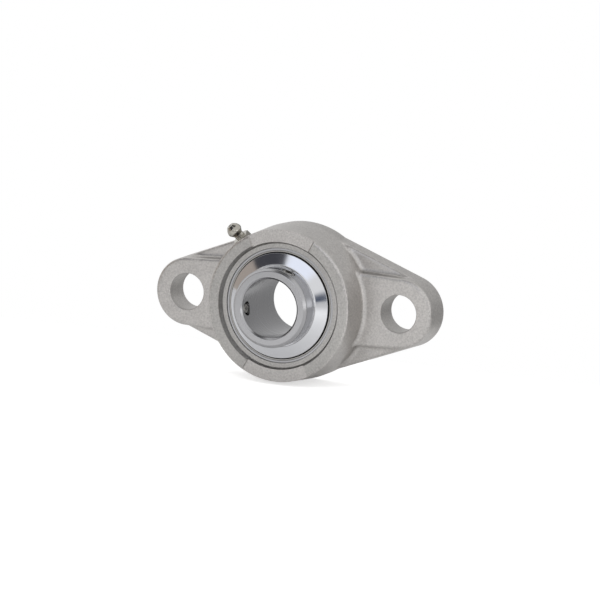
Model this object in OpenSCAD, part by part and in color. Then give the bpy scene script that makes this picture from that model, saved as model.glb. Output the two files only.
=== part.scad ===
// Two-bolt flange bearing: a cast rhombic housing that carries a ball insert
// with a spherical outer ring, so that the shaft can line itself up.
// Millimetres. Each piece is drawn facing the viewer, with its z along the
// bore and z = 0 on the mounting face, and stand() turns it upright.

/* [Flange] */
// Distance between the two bolt holes
bolt_spacing = 99; // [94:0.5:106]
// Diameter of each bolt hole
bolt_hole_d = 16; // [8:0.5:20]
// Radius of the flange end round each bolt hole, at the mounting face
ear_r = 15.5; // [14.5:0.1:17.5]
// Distance from the bore axis to each slanted flange side
flange_half = 33.3; // [31:0.1:33.8]
// Height of the low floors beside the ear pads
floor_h = 8; // [5:0.5:10]
// Height of the ear pads that the bolt heads press on
pad_h = 13; // [11:0.5:15]
// Angle by which each pad widens from its ear to the middle
pad_splay = 2; // [0.5:0.1:4]
// Mould taper of the flange sides and pads
draft = 3; // [1:0.5:5]
// Rounding along the pad edges
pad_edge = 1.0; // [0.4:0.1:1.5]
// Fillet where walls meet a floor
cast_fillet = 2.0; // [0.5:0.1:2.4]

/* [Housing ring] */
// Wall of the ring at its foot, measured outwards from the seat's sphere
ring_wall_t = 7.95; // [7:0.05:9]
// How much the ring wall narrows in radius from its foot to its front face
ring_taper = 1.5; // [0.5:0.1:2.5]
// Distance from the mounting face to the front face of the ring
ring_h = 27; // [26:0.1:29]
// Rounding of the ring's outer front edge
ring_edge = 0.7; // [0.3:0.1:2]
// Width of the recessed land round the front mouth
mouth_land = 2.2; // [1:0.1:2.6]
// Depth of that land below the ring's front face
mouth_depth = 2.1; // [1.6:0.1:2.5]
// How much the wall round the land leans outwards
mouth_bevel = 0.9; // [0.3:0.1:1.2]
// Half angle of the as-cast fields at the top and bottom of the ring face
field_angle = 27.5; // [15:0.5:40]
// Depth of those fields below the machined face
field_depth = 0.7; // [0.3:0.1:1.2]
// Distance from the mounting face to the centre of the ball race
seat_h = 16; // [15.5:0.1:17]
// How far the back mouth of the seat is narrower in radius than the sphere
seat_lip = 0.65; // [0.4:0.05:1]
// Distance of the grease groove behind the ball centres
groove_back = 4.4; // [3:0.1:5]
// Width of the grease groove round the seat
groove_w = 3; // [2:0.1:4]
// Depth of the grease groove
groove_depth = 1; // [0.5:0.1:1.4]

/* [Ball insert] */
// Diameter of the shaft bore
bore_d = 25; // [20:0.1:26]
// Wall of the inner ring beside its race
inner_wall = 4.4; // [4:0.1:4.8]
// Wall of the inner ring under the bottom of its race
race_wall = 3; // [2.6:0.1:3.4]
// Diameter of each ball
ball_d = 7.94; // [7:0.02:8.8]
// Wall of the outer ring over the bottom of its race
outer_wall = 2.52; // [2.2:0.02:3]
// Wall of the outer ring beside its race
shoulder_wall = 4; // [3.6:0.1:4.4]
// Width of the outer ring
outer_w = 17; // [16.5:0.1:18]
// Length of the inner ring that stands out behind the back flinger
inner_tail = 2.7; // [1.5:0.1:3.5]
// Edge bevel on the ends of the inner ring
inner_bevel = 1.2; // [0.3:0.1:1.5]
// Bevel at both mouths of the shaft bore
bore_bevel = 0.8; // [0.3:0.1:1.2]
// Number of balls
ball_count = 9; // [7:1:9]
// Race groove radius as a share of the ball diameter
race_share = 0.52; // [0.51:0.005:0.54]
// Sheet thickness of the riveted ball cage
cage_t = 0.6; // [0.4:0.05:0.8]
// Width of the cage, measured outwards from the bore
cage_w = 2.6; // [1.8:0.1:3]
// Diameter of the cage rivets
rivet_d = 1.0; // [0.6:0.1:1.2]

/* [Seals and flingers] */
// Width of the step in the outer ring that holds each seal
seal_step = 2.3; // [2:0.1:2.6]
// Radial wall left outside that step
rim_wall = 1.05; // [0.8:0.05:1.3]
// Width of the seal case's outer rim, measured along the radius
case_rim = 0.75; // [0.5:0.05:1]
// Sheet thickness of the seal case
case_t = 0.5; // [0.4:0.05:0.7]
// Thickness of the rubber seal disc
rubber_t = 0.9; // [0.6:0.1:1.1]
// Width of the flinger, measured outwards from the inner ring
flinger_w = 5.6; // [4.8:0.1:5.8]
// How far out of the inner ring the flinger's cone begins
flinger_hip = 1.4; // [1.2:0.1:1.8]
// Sheet thickness of the flinger
flinger_t = 0.7; // [0.5:0.05:0.9]
// How far the flinger's cone rises towards its hip
flinger_rise = 1.4; // [0.8:0.1:1.8]
// Length of the flinger's sleeve in front of its cone
sleeve_l = 0.8; // [0.6:0.1:1.5]

/* [Set screws] */
// Thread diameter of the two set screws
screw_d = 6; // [4:0.5:6.5]
// Distance from the inner ring's front face to the screw axes
screw_inset = 5; // [4.2:0.1:8]
// Angle of the first set screw round the bore
screw_angle = 68; // [40:1:100]
// Angle between the two set screws
screw_apart = 120; // [60:1:140]
// Distance that each screw point is held back from the bore
screw_back = 0.3; // [0.2:0.05:0.6]
// Size of the hex key socket, across its flats
screw_key = 3; // [2:0.5:3]

/* [Grease nipple] */
// Angle of the nipple round the housing ring
nipple_angle = 130; // [118:1:150]
// Forward tilt of the nipple
nipple_tilt = 27; // [15:1:32]
// Distance from the mounting face to the nipple's seat on the wall
nipple_h = 16.5; // [15:0.1:18]
// Depth to which the nipple's seat is cut into the ring wall
nipple_sink = 0.7; // [0.4:0.1:1]
// Thread diameter of the nipple
nipple_thread_d = 6; // [5:0.5:6.5]
// Size of the nipple's hexagon, across its flats
nipple_hex = 7; // [7:0.5:9]
// Height of the hexagon
nipple_hex_h = 3; // [2:0.1:4]
// Diameter of the head that the grease gun grips
nipple_head_d = 6.5; // [5.6:0.1:7]
// Length of the nipple's head, with the cone under it
nipple_head_l = 5.1; // [4.6:0.1:7]
// Diameter of the check ball in the nipple's tip
check_ball_d = 2; // [1.6:0.1:2.2]

/* [Lock pin] */
// Diameter of the pin that keeps the outer ring from turning
pin_d = 3; // [2:0.1:4]
// Depth of the pin's hole in the outer ring
pin_depth = 1.5; // [0.8:0.1:1.7]
// Length of the pin that stands out of the outer ring
pin_reach = 1.4; // [0.8:0.1:2]
// Largest self-aligning tilt of the insert, in degrees
align_max = 2; // [1:0.5:2.5]

/* [Clearances] */
// Radial gap between the outer ring's sphere and its seat
seat_gap = 0.05; // [0.02:0.01:0.1]
// Gap between each ball and the races
ball_gap = 0.02; // [0.01:0.01:0.04]
// Gap round each ball in its cage pocket
pocket_gap = 0.12; // [0.08:0.01:0.2]
// Gap between turning sheet parts and what stands still
rub_gap = 0.3; // [0.2:0.05:0.4]
// Gap round a pin or thread in its hole
pin_gap = 0.04; // [0.02:0.01:0.08]
// Gap of a pressed joint, where the sheet just meets the ring
press_gap = 0.01; // [0:0.005:0.02]

/* [Hidden] */
$fn = 96;
span = 300;
// Flat sides lie this far inside the round ends that they run into
blend_in = 0.02;
bolt_x = bolt_spacing / 2;
bolt_hole_r = bolt_hole_d / 2;
// Radii of the insert, added up from the bore outwards
bore_r = bore_d / 2;
inner_r = bore_r + inner_wall;
ball_r = ball_d / 2;
race_r = ball_d * race_share;
pitch_r = bore_r + race_wall + ball_gap + ball_r;
sphere_r = pitch_r + ball_r + ball_gap + outer_wall;
shoulder_r = sphere_r - shoulder_wall;
seat_r = sphere_r + seat_gap;
back_mouth_r = sphere_r - seat_lip;
ring_foot_r = seat_r + ring_wall_t;
ring_face_r = ring_foot_r - ring_taper;
// The recessed land starts where the seat's sphere reaches its height
land_z = ring_h - mouth_depth;
front_mouth_r = sqrt(seat_r * seat_r - pow(land_z - seat_h, 2));
land_r = front_mouth_r + mouth_land;
// Height at which the ring wall starts to lean inwards
ring_foot_h = floor_h - 1;
ring_lean = atan((ring_foot_r - ring_face_r) / (ring_h - ring_foot_h));
// Directions square to the slanted flange sides and to the pad sides
flange_angle = acos((flange_half - ear_r) / bolt_x);
pad_angle = 90 - pad_splay;
pad_half = ear_r + bolt_x * cos(pad_angle);
// The outer ring's face, where the seal step and the seal begin
face_z = outer_w / 2;
rim_r = sqrt(sphere_r * sphere_r - face_z * face_z) - rim_wall;
case_r = rim_r - press_gap;
case_inner_r = inner_r + flinger_t + rub_gap;
// Heights of the seal and flinger, measured from the ball centres
web_z = face_z - seal_step + case_t;
rubber_z = web_z + rubber_t;
flinger_r = inner_r + flinger_w;
hip_r = inner_r + flinger_hip;
flinger_rim_z = face_z + 0.2;
hip_z = flinger_rim_z + flinger_t + flinger_rise;
sleeve_end_z = hip_z + sleeve_l;
// Heights of the screws and of the inner ring's ends, outwards from the flingers
screw_r = screw_d / 2;
screw_z = seat_h + sleeve_end_z + 0.2 + screw_r;
inner_front_z = screw_z + screw_inset;
inner_back_z = seat_h - sleeve_end_z - inner_tail;
// Seat of the nipple, and its thread that ends just short of the outer ring
nipple_seat_r = ring_face_r + (ring_h - nipple_h) * tan(ring_lean) - nipple_sink;
nipple_face_r = nipple_hex / 2 / cos(30) + 0.5;
nipple_thread_r = nipple_thread_d / 2;
nipple_bevel = 0.6;
nipple_thread_l = (nipple_seat_r - seat_r - 0.15
    - (nipple_thread_r - nipple_bevel) * sin(nipple_tilt)) / cos(nipple_tilt);
neck_z = nipple_hex_h + 1.5;
nipple_l = neck_z + nipple_head_l;
nipple_bore_r = check_ball_d / 2 + 0.15;
nipple_tip_r = check_ball_d * 0.36;
check_z = nipple_l - 0.5 - sqrt(pow(check_ball_d / 2, 2) - pow(nipple_tip_r, 2));
spring_wire = 0.3;
spring_floor = 2.5;
spring_turns = 5;
pin_r = pin_d / 2;
pin_base_r = sphere_r - pin_depth;
pin_end_r = sphere_r + pin_reach;
pin_swing = pin_end_r * sin(align_max);
pin_bevel = 0.3;
groove_z = seat_h - groove_back;

// Points on an arc about (x, y) from angle a to angle b
function arc(x, y, r, a, b, steps = 6) =
    [for (i = [0:steps]) let (t = a + (b - a) * i / steps) [x + r * cos(t), y + r * sin(t)]];

// Corner points of a rounding that touches straight lines at each lean angle
function edge_points(x, y, r, leans) =
    [for (i = [0:len(leans) - 2])
        let (mid = (leans[i] + leans[i + 1]) / 2, k = r / cos((leans[i + 1] - leans[i]) / 2))
        [x + k * cos(mid), y + k * sin(mid)]];

// The pad edge is rounded in these steps, from the drafted side to the top
pad_leans = [draft, 30, 60, 90];

// Centre of the pad rounding, for a side that starts this far out at z = 0
function edge_centre(out) = out - (pad_h - pad_edge) * tan(draft) - pad_edge / cos(draft);

// Turns a piece from the drawing position to its place in the part
module stand() {
    rotate([90, 0, 0]) children();
}

// Draws a piece on the right and again on the left
module both_ends() {
    children();
    mirror([1, 0, 0]) children();
}

// Draws a front piece at the ball centres, or turned over for the back
module at_race(side) {
    translate([0, 0, seat_h]) mirror([0, 0, side < 0 ? 1 : 0]) children();
}

// Everything inside a flat side that faces direction a and leans inwards
module inside(a, out, lean) {
    rotate([0, 0, a]) translate([out, 0, 0]) rotate([0, -lean, 0])
        translate([-span, -span, -span]) cube([span, 2 * span, 2 * span]);
}

// Everything between two such sides that face directions a and -a
module between(a, out, lean) {
    intersection() {
        inside(a, out, lean);
        inside(-a, out, lean);
    }
}

// A tapered slab from the ring to an ear, cut where its sides touch both round ends
module slab(a, out, h) {
    start = (out - h * tan(draft)) * cos(a);
    end = bolt_x + (ear_r - h * tan(draft)) * cos(a);
    intersection() {
        translate([start, -span / 2, 0]) cube([end - start, span, h]);
        between(a, out - blend_in, draft);
    }
}

// The raised pad between the ring and an ear, with its long edges rounded
module pad() {
    centre = edge_centre(pad_half - blend_in);
    intersection() {
        slab(pad_angle, pad_half, pad_h);
        between(pad_angle, centre + rounding_reach(pad_leans[1]), pad_leans[1]);
        between(pad_angle, centre + rounding_reach(pad_leans[2]), pad_leans[2]);
    }
}

// How far beyond the rounding's centre a side with this lean starts at z = 0
function rounding_reach(lean) = ((pad_h - pad_edge) * sin(lean) + pad_edge) / cos(lean);

// The round end of the flange, turned on the bolt hole's axis
module ear() {
    centre = edge_centre(ear_r);
    translate([bolt_x, 0, 0]) rotate_extrude() polygon(concat(
        [[0, 0], [ear_r, 0]],
        edge_points(centre, pad_h - pad_edge, pad_edge, pad_leans),
        [[0, pad_h]]
    ));
}

// Section of a fillet between a leaning wall and a floor, wall at the left
module fillet_section(wall, floor_z, lean) {
    x = wall + cast_fillet / cos(lean) - blend_in;
    z = floor_z + cast_fillet - blend_in;
    polygon(concat(
        [[wall - 1.5, floor_z - 0.5], [x, floor_z - 0.5]],
        arc(x, z, cast_fillet, 270, 180 + lean),
        [[wall - 1.5, z - cast_fillet * sin(lean)]]
    ));
}

// Radius of the ring wall at a height
function ring_wall(z) = ring_face_r + (ring_h - z) * tan(ring_lean);

// Fillet round the foot of the ring wall, at one floor height
module ring_fillet(floor_z) {
    rotate_extrude() fillet_section(ring_wall(floor_z + cast_fillet), floor_z, ring_lean);
}

// Fillet along both long sides of a pad, where it drops to the low floors
module pad_fillets() {
    top = floor_h + cast_fillet;
    for (s = [-1, 1])
        rotate([0, 0, s * pad_angle]) rotate([90, 0, 0])
            linear_extrude(2 * bolt_spacing, center = true)
                fillet_section(pad_half - top * tan(draft), floor_h, draft);
}

// The ring wall, full up to the bore axis
module ring_blank() {
    top = ring_h - ring_edge;
    centre = ring_wall(top) - ring_edge / cos(ring_lean);
    rotate_extrude() polygon(concat(
        [[0, 0], [ring_foot_r, 0], [ring_foot_r, ring_foot_h]],
        arc(centre, top, ring_edge, ring_lean, 90),
        [[0, ring_h]]
    ));
}

// The casting before it is machined
module casting() {
    ring_blank();
    both_ends() {
        slab(flange_angle, flange_half, floor_h);
        pad();
        ear();
        intersection() {
            slab(flange_angle, flange_half, pad_h + cast_fillet);
            union() {
                ring_fillet(floor_h);
                pad_fillets();
            }
        }
        intersection() {
            slab(pad_angle, pad_half - pad_edge, pad_h + cast_fillet);
            ring_fillet(pad_h);
        }
    }
}

// Wedges that mark the top and bottom fields of the ring face
module field_wedges(z, h) {
    for (a = [90, 270]) rotate([0, 0, a]) translate([0, 0, z]) linear_extrude(h)
        polygon([[0, 0], [span, -span * tan(field_angle)], [span, span * tan(field_angle)]]);
}

// The bowl that the outer ring's sphere sits in, open at its back mouth
module seat_cut() {
    translate([0, 0, seat_h]) sphere(seat_r);
    translate([0, 0, -1]) cylinder(h = seat_h + 1, r = back_mouth_r);
}

// The recess in the ring face with its land round the front mouth
module mouth_cut() {
    slope = mouth_bevel / mouth_depth;
    translate([0, 0, land_z])
        cylinder(h = mouth_depth + 1, r1 = land_r, r2 = land_r + mouth_bevel + slope);
}

// The two wide slots through which the ring enters the seat edgeways
module loading_slots() {
    slot_w = outer_w + 0.5;
    intersection() {
        translate([0, 0, -1]) cylinder(h = seat_h + 1, r = seat_r + 0.2);
        translate([-span / 2, -slot_w / 2, -1]) cube([span, slot_w, seat_h + 1]);
    }
}

// The slot in which the lock pin slides as the insert tilts
module pin_slot() {
    half = pin_r + pin_gap;
    end = seat_h + pin_swing;
    intersection() {
        union() {
            translate([-half, 0, -1]) cube([2 * half, span, end + 1]);
            translate([0, 0, end]) rotate([-90, 0, 0]) cylinder(h = span, r = half);
        }
        translate([0, 0, -1]) cylinder(h = ring_h, r = pin_end_r + 0.3);
    }
}

// Places a piece on the nipple's seat, with z along the nipple
module at_nipple() {
    rotate([0, 0, nipple_angle]) translate([nipple_seat_r, 0, nipple_h])
        rotate([0, 90 - nipple_tilt, 0]) children();
}

// The nipple's flat seat, thread hole and grease passage to the groove
module nipple_cut() {
    at_nipple() {
        cylinder(h = nipple_l, r = nipple_face_r);
        translate([0, 0, -nipple_thread_l - 0.5])
            cylinder(h = nipple_thread_l + 1, r = nipple_thread_r + pin_gap);
    }
}

// The grease groove round the seat, just behind the ball race
module groove_cut() {
    translate([0, 0, groove_z - groove_w / 2])
        cylinder(h = groove_w, r = seat_r + groove_depth - 0.3);
}

// Cast housing with its machined face, seat, holes and slots
module housing() {
    color("darkgray") stand() difference() {
        casting();
        both_ends() translate([bolt_x, 0, -1]) cylinder(h = pad_h + 2, r = bolt_hole_r);
        seat_cut();
        mouth_cut();
        groove_cut();
        loading_slots();
        pin_slot();
        nipple_cut();
        field_wedges(ring_h - field_depth, 2);
    }
}

// Grease nipple: thread, hexagon, neck and round head, bored through
module grease_nipple_body() {
    head_r = nipple_head_d / 2;
    neck_r = head_r * 0.66;
    cone = nipple_head_l / 3;
    color("gainsboro") stand() at_nipple() difference() {
        union() {
            rotate_extrude() polygon([
                [0, -nipple_thread_l], [nipple_thread_r - nipple_bevel, -nipple_thread_l],
                [nipple_thread_r, -nipple_thread_l + nipple_bevel], [nipple_thread_r, 0.1],
                [neck_r, 0.1], [neck_r, neck_z], [head_r, neck_z + cone],
                [head_r, neck_z + cone * 1.5], [head_r * 0.86, neck_z + cone * 2.2],
                [head_r * 0.5, nipple_l], [0, nipple_l]
            ]);
            intersection() {
                cylinder(h = nipple_hex_h, r = nipple_hex / 2 / cos(30), $fn = 6);
                cylinder(h = nipple_hex_h, r1 = nipple_face_r + 2, r2 = nipple_hex / 2);
            }
        }
        translate([0, 0, -nipple_thread_l - 1])
            cylinder(h = nipple_thread_l + 1 + check_z, r = nipple_bore_r);
        translate([0, 0, check_z]) sphere(nipple_bore_r);
        cylinder(h = nipple_l + 1, r = nipple_tip_r);
    }
}

// Steel ball that closes the nipple's tip
module grease_check_ball() {
    color("silver") stand() at_nipple() translate([0, 0, check_z]) sphere(check_ball_d / 2);
}

// Coil spring that holds the check ball shut
module grease_spring() {
    length = check_z - check_ball_d / 2 - spring_floor;
    color("silver") stand() at_nipple() translate([0, 0, spring_floor])
        linear_extrude(length, twist = -360 * spring_turns, slices = 12 * spring_turns, $fn = 6)
            translate([nipple_bore_r - spring_wire, 0]) circle(spring_wire * 0.8);
}

// Grease groove's feed hole through the outer ring
module feed_hole() {
    translate([0, 0, groove_z]) rotate([-90, 0, 0]) cylinder(h = sphere_r + 1, r = 0.8);
}

// Outer ring: a slice of a sphere with the race and the two seal steps inside
module outer_ring() {
    step_z = face_z - seal_step;
    color("silver") stand() difference() {
        at_race(1) difference() {
            intersection() {
                sphere(sphere_r);
                cylinder(h = outer_w, r = sphere_r + 1, center = true);
            }
            cylinder(h = outer_w + 2, r = shoulder_r, center = true);
            rotate_extrude() translate([pitch_r + ball_r + ball_gap - race_r, 0]) circle(race_r);
            for (s = [0, 1]) mirror([0, 0, s])
                translate([0, 0, step_z]) cylinder(h = outer_w, r = rim_r);
        }
        for (a = [-60, 120]) rotate([0, 0, a]) feed_hole();
        translate([0, 0, seat_h]) rotate([-90, 0, 0]) translate([0, 0, pin_base_r - 0.05])
            cylinder(h = pin_depth + 1, r = pin_r + pin_gap);
    }
}

// Pin that keeps the outer ring from creeping round in its seat
module lock_pin() {
    color("lightgray") stand() translate([0, 0, seat_h]) rotate([-90, 0, 0])
        translate([0, 0, pin_base_r]) {
            cylinder(h = pin_depth + pin_reach - pin_bevel, r = pin_r);
            translate([0, 0, pin_depth + pin_reach - pin_bevel])
                cylinder(h = pin_bevel, r1 = pin_r, r2 = pin_r - pin_bevel);
        }
}

// Places a piece on the axis of set screw i, with z pointing out of the bore
module at_screw(i) {
    rotate([0, 0, screw_angle + (i - 1) * screw_apart]) translate([0, 0, screw_z])
        rotate([0, 90, 0]) children();
}

// Inner ring with its race, bevelled ends and threaded screw holes
module inner_ring() {
    color("silver") stand() difference() {
        rotate_extrude() polygon([
            [bore_r + bore_bevel, inner_back_z], [inner_r - inner_bevel / 2, inner_back_z],
            [inner_r, inner_back_z + inner_bevel / 2], [inner_r, inner_front_z - inner_bevel],
            [inner_r - inner_bevel, inner_front_z], [bore_r + bore_bevel, inner_front_z],
            [bore_r, inner_front_z - bore_bevel], [bore_r, inner_back_z + bore_bevel]
        ]);
        at_race(1) rotate_extrude()
            translate([pitch_r - ball_r - ball_gap + race_r, 0]) circle(race_r);
        for (i = [1, 2]) at_screw(i) cylinder(h = inner_r + 1, r = screw_r + pin_gap);
    }
}

// One ball of the race, counted from the top
function ball_angle(i) = 90 + (i - 1) * 360 / ball_count;
module ball(i) {
    color("whitesmoke") stand() at_race(1)
        rotate([0, 0, ball_angle(i)]) translate([pitch_r, 0, 0]) sphere(ball_r);
}

// Half of the pressed ball cage: flat lands with a round pocket at each ball
module cage_half(side) {
    pocket = ball_r + pocket_gap;
    color("lightsteelblue") stand() at_race(side) difference() {
        intersection() {
            union() {
                cylinder(h = cage_t, r = pitch_r + cage_w / 2);
                for (i = [1:ball_count]) rotate([0, 0, ball_angle(i)])
                    translate([pitch_r, 0, 0]) sphere(pocket + cage_t);
            }
            difference() {
                cylinder(h = ball_d, r = pitch_r + cage_w / 2);
                translate([0, 0, -1]) cylinder(h = ball_d + 2, r = pitch_r - cage_w / 2);
            }
        }
        for (i = [1:ball_count]) rotate([0, 0, ball_angle(i)]) {
            translate([pitch_r, 0, 0]) sphere(pocket);
            rotate([0, 0, 180 / ball_count]) translate([pitch_r, 0, -1])
                cylinder(h = 3, r = rivet_d / 2 + press_gap);
        }
    }
}

// Rivets that join the cage halves between the balls
module cage_rivets() {
    head_h = 0.35;
    head_r = rivet_d / 2 + 0.4;
    color("silver") stand() at_race(1)
        for (i = [1:ball_count]) rotate([0, 0, ball_angle(i) + 180 / ball_count])
            translate([pitch_r, 0, 0]) {
                cylinder(h = 2 * cage_t, r = rivet_d / 2, center = true);
                for (s = [0, 1]) mirror([0, 0, s]) translate([0, 0, cage_t])
                    cylinder(h = head_h, r1 = head_r, r2 = head_r - 0.2);
            }
}

// Pressed steel case of a seal: an outer rim and a thin web behind it
module seal_case(side) {
    color("silver") stand() at_race(side) rotate_extrude() polygon([
        [case_inner_r, web_z - case_t], [case_r, web_z - case_t], [case_r, face_z - 0.1],
        [case_r - 0.1, face_z], [case_r - case_rim + 0.1, face_z],
        [case_r - case_rim, face_z - 0.1], [case_r - case_rim, web_z], [case_inner_r, web_z]
    ]);
}

// Rubber disc on the seal case, with its lips round the inner ring
module seal_lip(side) {
    lip_r = inner_r + rub_gap / 3;
    outer = case_r - case_rim;
    color("dimgray") stand() at_race(side) rotate_extrude() polygon([
        [lip_r, rubber_z - 0.4], [case_inner_r - 0.2, web_z - case_t],
        [case_inner_r, web_z - case_t], [case_inner_r, web_z], [outer, web_z],
        [outer, rubber_z], [case_inner_r + 0.4, rubber_z], [lip_r, rubber_z]
    ]);
}

// Flinger pressed on the inner ring, which turns with it and throws dirt off
module flinger(side) {
    sleeve_r = inner_r + press_gap;
    rim_z = flinger_rim_z;
    rim_edge = flinger_t / 2;
    top_r = sleeve_r + flinger_t * 0.5;
    bend = sleeve_l * 0.75;
    color("whitesmoke") stand() at_race(side) rotate_extrude() polygon(concat(
        [[sleeve_r, rim_z], [sleeve_r + flinger_t, rim_z]],
        [[sleeve_r + flinger_t, hip_z - flinger_t - 0.2], [hip_r, hip_z - flinger_t - 0.1]],
        [[flinger_r - flinger_t, rim_z + 0.25], [flinger_r - flinger_t, rim_z]],
        arc(flinger_r - rim_edge, rim_z + rim_edge, rim_edge, -60, 50, 4),
        arc(top_r + bend, hip_z + bend, bend, 270, 180, 6),
        [[top_r, sleeve_end_z - 0.15], [top_r - 0.15, sleeve_end_z], [sleeve_r, sleeve_end_z]]
    ));
}

// Set screw with a cup point and a hexagon socket
module set_screw(i) {
    r = screw_r;
    tip = bore_r + screw_back;
    end = inner_r - 0.1;
    color("darkgray") stand() at_screw(i) difference() {
        rotate_extrude() polygon([
            [0, tip + 0.5], [r * 0.45, tip], [r * 0.6, tip], [r, tip + r * 0.4],
            [r, end - 0.4], [r - 0.4, end], [0, end]
        ]);
        translate([0, 0, end - 2]) cylinder(h = 3, r = screw_key / 2 / cos(30), $fn = 6);
    }
}

housing();
grease_nipple_body();
grease_check_ball();
grease_spring();
outer_ring();
lock_pin();
inner_ring();
for (i = [1:ball_count]) ball(i);
cage_half(1);  // cage_front
cage_half(-1);  // cage_back
cage_rivets();
seal_case(1);  // seal_case_front
seal_lip(1);  // seal_lip_front
seal_case(-1);  // seal_case_back
seal_lip(-1);  // seal_lip_back
flinger(1);  // flinger_front
flinger(-1);  // flinger_back
set_screw(1);  // set_screw_1
set_screw(2);  // set_screw_2
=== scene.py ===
"""Dresses the two-bolt flange bearing: its casting, its ball insert and the studio round them."""

import math
from types import SimpleNamespace

import bmesh
import bpy
import numpy as np
from mathutils import Matrix, Vector


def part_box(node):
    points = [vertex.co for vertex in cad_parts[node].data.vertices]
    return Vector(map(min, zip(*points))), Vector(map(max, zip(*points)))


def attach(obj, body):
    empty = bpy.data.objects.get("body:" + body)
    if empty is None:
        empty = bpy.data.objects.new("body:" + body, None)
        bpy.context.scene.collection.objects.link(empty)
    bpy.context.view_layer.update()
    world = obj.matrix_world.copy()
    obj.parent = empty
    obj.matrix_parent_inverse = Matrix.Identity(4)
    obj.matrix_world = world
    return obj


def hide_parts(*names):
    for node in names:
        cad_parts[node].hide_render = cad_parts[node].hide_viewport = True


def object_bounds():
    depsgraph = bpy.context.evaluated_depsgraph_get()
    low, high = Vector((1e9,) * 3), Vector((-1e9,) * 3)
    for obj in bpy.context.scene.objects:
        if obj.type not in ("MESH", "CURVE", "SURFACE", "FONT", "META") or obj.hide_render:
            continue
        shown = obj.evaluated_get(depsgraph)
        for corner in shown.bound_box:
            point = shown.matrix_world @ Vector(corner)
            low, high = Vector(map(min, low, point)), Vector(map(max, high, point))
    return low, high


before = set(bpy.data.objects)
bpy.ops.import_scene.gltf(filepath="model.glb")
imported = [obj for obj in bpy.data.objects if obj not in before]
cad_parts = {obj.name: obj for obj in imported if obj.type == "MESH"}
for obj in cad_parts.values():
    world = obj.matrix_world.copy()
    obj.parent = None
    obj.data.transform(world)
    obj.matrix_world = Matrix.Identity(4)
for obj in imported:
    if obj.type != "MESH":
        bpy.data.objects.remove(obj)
CAD_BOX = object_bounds()

bl_info = {
    "name": "Two-Bolt Flange Bearing",
    "version": (1, 0, 0),
    "blender": (4, 5, 0),
    "location": "View3D > Sidebar > Bearing",
    "description": "Builds the cast housing and the ball insert of a two-bolt flange bearing",
    "category": "Add Mesh",
}

MM = 0.001


def corner(name, side, axis):
    """A coordinate of a frame node's box in millimetres: side 0 is the lowest, side 1 the highest."""
    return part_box(name)[side][axis] / MM


# The frame's own sizes, from which the sizes below take their defaults
FLANGE_REACH = corner("housing", 1, 0)
RING_HEIGHT = -corner("housing", 0, 1)
RING_FOOT_R = corner("housing", 1, 2)
INNER_R = corner("inner_ring", 1, 0)
INNER_FRONT = -corner("inner_ring", 0, 1)
INNER_BACK = -corner("inner_ring", 1, 1)
RACE_HEIGHT = -(corner("outer_ring", 0, 1) + corner("outer_ring", 1, 1)) / 2
FACE_REACH = (corner("outer_ring", 1, 1) - corner("outer_ring", 0, 1)) / 2
SPHERE_R = corner("outer_ring", 1, 0)
FLINGER_R = corner("flinger_front", 1, 0)
BALL_R = (corner("ball_1", 1, 0) - corner("ball_1", 0, 0)) / 2
PITCH_R = corner("ball_1", 1, 2) - BALL_R

# Fits that several pieces share: a race is a little wider than its ball and leaves it some room,
# a thread has some play in its hole, and the outer ring has a blind hole for the lock pin and
# feed holes for grease, this far behind its middle
RACE_R = BALL_R * 1.04
BALL_ROOM = BALL_R + 0.02
THREAD_GAP = 0.04
PIN_HOLE_R = 1.54
FEED_OFFSET = 4.4
# How far a cutting tool reaches past the casting
PAST = 3
# Half the width of a hexagon across its flats, over the radius to its corners
HEXAGON_SHARE = math.cos(math.radians(30))


def length(name, description, millimetres):
    """A size that the user can change, shown as a length."""
    return bpy.props.FloatProperty(
        name=name, description=description, default=millimetres * MM, min=0.0,
        unit="LENGTH", subtype="DISTANCE", precision=5)


def angle(name, description, degrees):
    """An angle that the user can change."""
    return bpy.props.FloatProperty(
        name=name, description=description, default=math.radians(degrees), subtype="ANGLE")


def linear(hex_colour):
    """Turns an sRGB hex colour into Blender's linear numbers."""
    parts = [int(hex_colour[i:i + 2], 16) / 255 for i in (1, 3, 5)]
    return [c / 12.92 if c <= 0.04045 else ((c + 0.055) / 1.055) ** 2.4 for c in parts]


def colour(name, description, hex_colour):
    """A colour that the user can change."""
    return bpy.props.FloatVectorProperty(
        name=name, description=description, default=linear(hex_colour), size=3,
        min=0.0, max=1.0, subtype="COLOR")


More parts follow.
